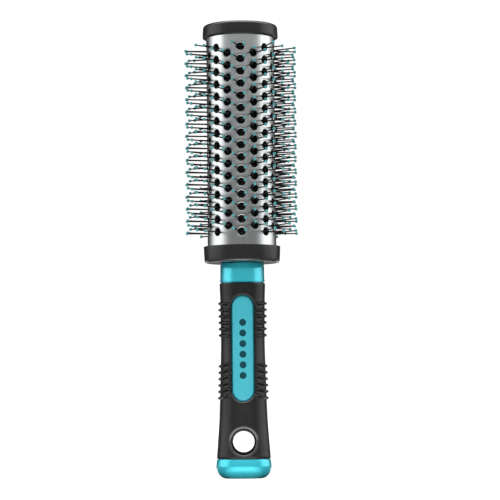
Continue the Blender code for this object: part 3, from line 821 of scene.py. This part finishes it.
def on_opening_edge(x, y, z):
    """Whether a point lies on the rounding of a window's lower end or of the hanging hole."""
    drop = surface_depth(x, z) - abs(y)
    past_window = math.hypot(x, z - WINDOW_BOTTOM_Z - WINDOW_HALF_WIDTH) - WINDOW_HALF_WIDTH
    if 0.0 < past_window < WINDOW_POLISH_WIDTH and z < WINDOW_BOTTOM_Z + WINDOW_POLISH_HEIGHT:
        return SURFACE_NOISE < drop < WINDOW_POLISH_DEPTH
    return SURFACE_NOISE < drop < HOLE_POLISH_DEPTH and math.hypot(x, z - HOLE_Z) < HOLE_POLISH_RADIUS


def grip_hollow():
    """Cutter for the inside of the grip, with the lining of the hanging hole left standing."""
    heights = [GRIP_BOTTOM_Z - HOLLOW_OVERRUN]
    heights += [GRIP_BOTTOM_Z + HOLLOW_STEP * i for i in range(HOLLOW_STEPS)]
    heights.append(GRIP_TOP_Z + HOLLOW_OVERRUN)
    hollow = skin("hollow", [section_ring(z, *grip_section(z, GRIP_WALL)) for z in heights])
    lining = crosswise_cylinder("lining", LINING_RADIUS, HOLE_Z)
    cut(hollow, lining)
    return bake_modifiers(hollow, lining)


def window_cutter(side):
    rings = []
    for offset, drop in WINDOW_SHOULDER:
        rings.append([(x, side * (surface_depth(x, z) - drop), z) for x, z in stadium(offset)])
    return skin("window_cutter", rings)


def hanging_bore():
    rings = [mouth_ring(-1, radius, drop) for radius, drop in HOLE_MOUTH]
    rings += [mouth_ring(1, radius, drop) for radius, drop in reversed(HOLE_MOUTH)]
    return skin("hanging_bore", rings)


def make_grip(paint, edge_paint):
    """Rubber sleeve with its ribs, two windows and the lined hanging hole."""
    rings = []
    for inset, rise in GRIP_LOWER_EDGE:
        rings.append(section_ring(GRIP_BOTTOM_Z + rise, *grip_section(GRIP_BOTTOM_Z + rise, inset)))
    rings += [grip_ring(z) for z in grip_heights()]
    for inset, drop in GRIP_UPPER_EDGE:
        rings.append(section_ring(GRIP_TOP_Z - drop, *grip_section(GRIP_TOP_Z - drop, inset)))
    grip = skin("rubber_grip", rings)
    cutters = [grip_hollow(), window_cutter(-1), window_cutter(1), hanging_bore()]
    for cutter in cutters:
        cut(grip, cutter)
    bake_modifiers(grip, *cutters)
    finish_piece(grip, paint, "grip_rubber", "grip_sleeve")
    return repaint(grip, edge_paint, on_opening_edge)


# ---------------------------------------------------------------- studio

def ramp_node(tree, stops, factor):
    """Brightness of the stops' ramp, read at a factor from 0 to 1."""
    node = tree.nodes.new("ShaderNodeValToRGB")
    elements = node.color_ramp.elements
    while len(elements) < len(stops):
        elements.new(0.5)
    for element, (position, value) in zip(elements, stops):
        element.position = position
        element.color = (value, value, value, 1.0)
    tree.links.new(factor, node.inputs["Fac"])
    return node.outputs["Color"]


def mix_node(tree, blend, first, second):
    node = tree.nodes.new("ShaderNodeMix")
    node.data_type = "RGBA"
    node.blend_type = blend
    node.inputs["Factor"].default_value = 1.0
    tree.links.new(first, node.inputs["A"])
    tree.links.new(second, node.inputs["B"])
    return node.outputs["Result"]


def vector_node(tree, operation, vector, other=None):
    node = tree.nodes.new("ShaderNodeVectorMath")
    node.operation = operation
    tree.links.new(vector, node.inputs[0])
    if other is not None:
        node.inputs[1].default_value = other
    return node


def split_node(tree, vector):
    node = tree.nodes.new("ShaderNodeSeparateXYZ")
    tree.links.new(vector, node.inputs["Vector"])
    return node


def studio_light(tree):
    """Light from each direction: side panels, a front fill that brightens upwards, and a light overhead."""
    toward = tree.nodes.new("ShaderNodeTexCoord").outputs["Generated"]
    level = vector_node(tree, "MULTIPLY", toward, (1.0, 1.0, 0.0)).outputs["Vector"]
    unit = vector_node(tree, "NORMALIZE", level).outputs["Vector"]
    backwards = (-math.sin(STUDIO_TURN), math.cos(STUDIO_TURN), 0.0)
    share = tree.nodes.new("ShaderNodeMapRange")
    share.inputs["From Min"].default_value = -1.0
    tree.links.new(vector_node(tree, "DOT_PRODUCT", unit, backwards).outputs["Value"], share.inputs["Value"])
    front_to_back = share.outputs["Result"]
    upwards = split_node(tree, toward).outputs["Z"]
    fill_reach = ramp_node(tree, FILL_REACH, front_to_back)
    fill = mix_node(tree, "MULTIPLY", ramp_node(tree, FRONT_FILL, upwards), fill_reach)
    light = mix_node(tree, "LIGHTEN", ramp_node(tree, SIDE_PANELS, front_to_back), fill)
    return mix_node(tree, "LIGHTEN", light, ramp_node(tree, OVERHEAD, upwards))


def make_world():
    """Soft studio light for the object, in front of a white backdrop that only the camera sees."""
    world = bpy.data.worlds.new("studio")
    bpy.context.scene.world = world
    world.use_nodes = True
    tree = world.node_tree
    nodes, links = tree.nodes, tree.links
    shader = nodes["Background"]
    shader.inputs["Strength"].default_value = STUDIO_STRENGTH
    links.new(studio_light(tree), shader.inputs["Color"])
    backdrop = nodes.new("ShaderNodeBackground")
    backdrop.inputs["Color"].default_value = (1.0, 1.0, 1.0, 1.0)
    backdrop.inputs["Strength"].default_value = BACKDROP_STRENGTH
    chooser = nodes.new("ShaderNodeMixShader")
    links.new(nodes.new("ShaderNodeLightPath").outputs["Is Camera Ray"], chooser.inputs["Fac"])
    links.new(shader.outputs["Background"], chooser.inputs[1])
    links.new(backdrop.outputs["Background"], chooser.inputs[2])
    links.new(chooser.outputs["Shader"], nodes["World Output"].inputs["Surface"])


def floor_disc(name, top, paint):
    bottom = -FLOOR_THICKNESS
    disc = turned(name, ((0.0, top), (FLOOR_RADIUS, top), (FLOOR_RADIUS, bottom), (0.0, bottom)), sides=96)
    disc.data.materials.append(paint)
    return disc


def make_floor():
    """Pale floor that only the camera sees."""
    paint, shader = new_material("studio_floor", (0.5, 0.5, 0.5), 0.9)
    tint(paint, noise(paint, 8), (0.50, 0.50, 0.50), (0.52, 0.52, 0.52), shader)
    shader.inputs["Emission Color"].default_value = (1.0, 1.0, 1.0, 1.0)
    shader.inputs["Emission Strength"].default_value = FLOOR_EMISSION
    floor = floor_disc("studio_floor", 0.0, paint)
    floor.visible_diffuse = False
    floor.visible_glossy = False
    floor.visible_transmission = False
    floor.visible_shadow = False
    return floor


def make_floor_glow():
    """Pool of light just under the floor, which only the object sees.

    It fills a wedge in front of the object and one behind, dark close to the foot, and it fades outwards. A
    band of the wedge behind is dark too, because the collar's lower edge would mirror it to the front.
    """
    paint, shader = new_material("floor_glow", (0.0, 0.0, 0.0), 1.0)
    tree = paint.node_tree
    place = tree.nodes.new("ShaderNodeTexCoord").outputs["Object"]
    unit = vector_node(tree, "NORMALIZE", place).outputs["Vector"]
    lengthwise = split_node(tree, vector_node(tree, "ABSOLUTE", unit).outputs["Vector"]).outputs["Y"]
    distance = vector_node(tree, "LENGTH", place).outputs["Value"]
    wedge = ramp_node(tree, GLOW_WEDGE, lengthwise)
    behind = ramp_node(tree, GLOW_BEHIND, split_node(tree, place).outputs["Y"])
    pool = mix_node(tree, "MULTIPLY", wedge, ramp_node(tree, GLOW_FADE, distance))
    pool = mix_node(tree, "MULTIPLY", pool, behind)
    tree.links.new(pool, shader.inputs["Emission Color"])
    shader.inputs["Emission Strength"].default_value = GLOW_STRENGTH
    glow = floor_disc("floor_glow", -GLOW_DEPTH, paint)
    glow.visible_camera = False
    return glow


def make_camera():
    camera = bpy.data.cameras.new("camera")
    camera.sensor_width = 36.0
    camera.lens = CAMERA_LENS
    item = bpy.data.objects.new("camera", camera)
    bpy.context.scene.collection.objects.link(item)
    item.location = CAMERA_PLACE
    look = (CAMERA_AIM - CAMERA_PLACE).to_track_quat("-Z", "Y")
    item.rotation_euler = (look.to_matrix() @ Matrix.Rotation(CAMERA_ROLL, 3, "Z")).to_euler()
    bpy.context.scene.camera = item


# ---------------------------------------------------------------- assembly

def main():
    satin_black = make_satin_black()
    polished_black = make_polished("polished_black", BLACK_PLASTIC, 0.20)
    nylon, tip_teal = make_nylon(), make_tip_teal()
    window_teal, dimple_teal = make_window_teal(), make_dimple_teal()
    carrier_plastic, steel = make_carrier_plastic(), make_steel()

    finish_piece(Barrel().build(), make_aluminium(), "aluminium", "barrel")
    scatter = random.Random(16)
    for column in range(COLUMNS):
        make_strip(column, nylon, tip_teal, scatter)
    make_end_cap(satin_black, polished_black)
    make_collar(satin_black, polished_black)
    make_core(make_pearl_teal())
    for side in (-1, 1):
        make_pad(side, window_teal, dimple_teal)
    make_grip(make_rubber(), make_polished("polished_rubber", BLACK_RUBBER, 0.24))
    for node, paint in (("barrel_core", carrier_plastic), ("core_screw", steel), ("screw_washer", steel)):
        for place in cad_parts[node].material_slots:
            place.material = paint

    make_world()
    make_floor()
    make_floor_glow()
    make_camera()
    bpy.context.scene.view_settings.view_transform = "Standard"


main()
